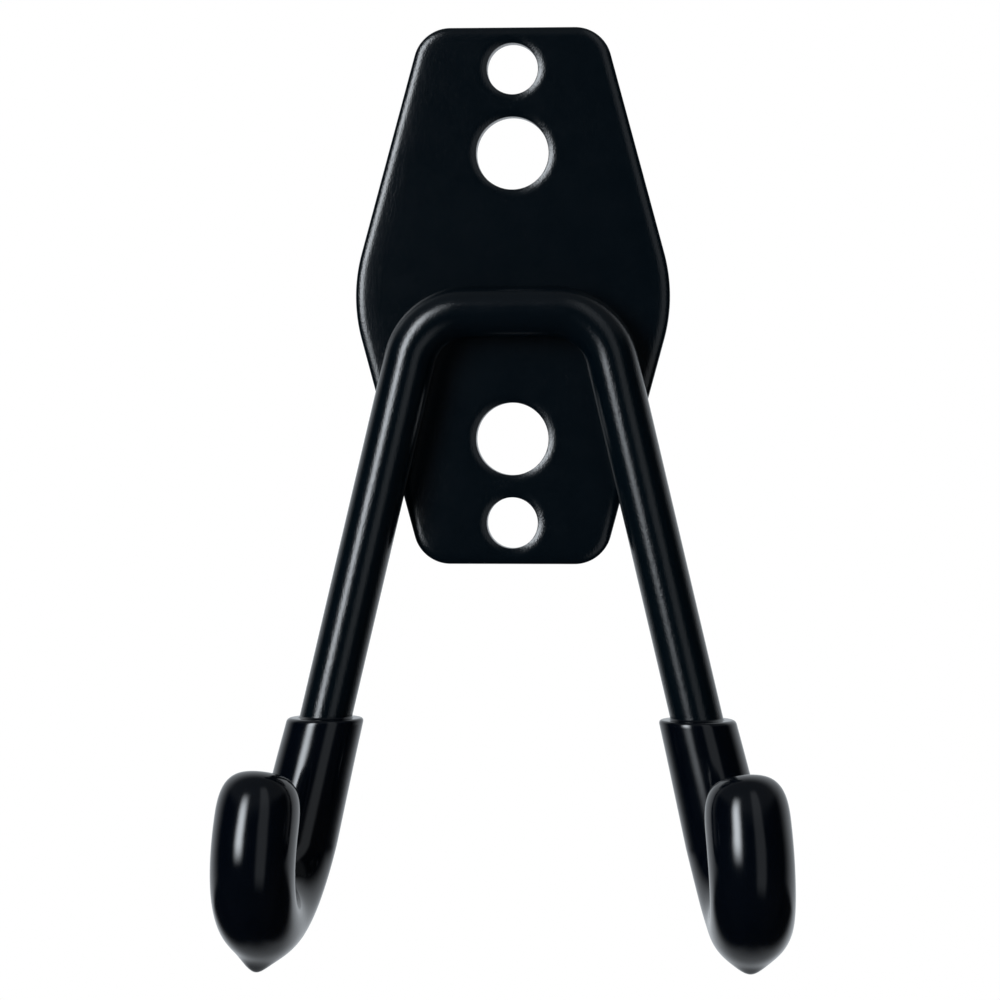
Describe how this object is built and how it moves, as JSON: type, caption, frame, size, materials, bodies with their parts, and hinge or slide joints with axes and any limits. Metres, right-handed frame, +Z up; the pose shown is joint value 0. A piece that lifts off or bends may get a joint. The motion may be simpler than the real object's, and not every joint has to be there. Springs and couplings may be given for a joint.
{
  "type": "double robe hook",
  "caption": "Wall plate with a bent steel rod whose splayed arms end in soft-coated J hooks, for hanging robes, cords or tools.",
  "frame": {"origin": "centre of the back plate's rear face, which lies on the wall", "axes": "+Z up as hung, +Y into the wall, so the hooks reach towards -Y; +X across the plate, to the right as seen from the front"},
  "size_m": [0.0676, 0.0283, 0.1124],
  "materials": {
    "powder_coated_steel": "satin black powder coat with a fine grain",
    "dipped_vinyl": "glossy black dipped vinyl"
  },
  "bodies": {
    "root": {"back_plate": "powder_coated_steel", "hook_rod": "powder_coated_steel", "sleeve_left": "dipped_vinyl", "sleeve_right": "dipped_vinyl"}
  },
  "joints": []
}
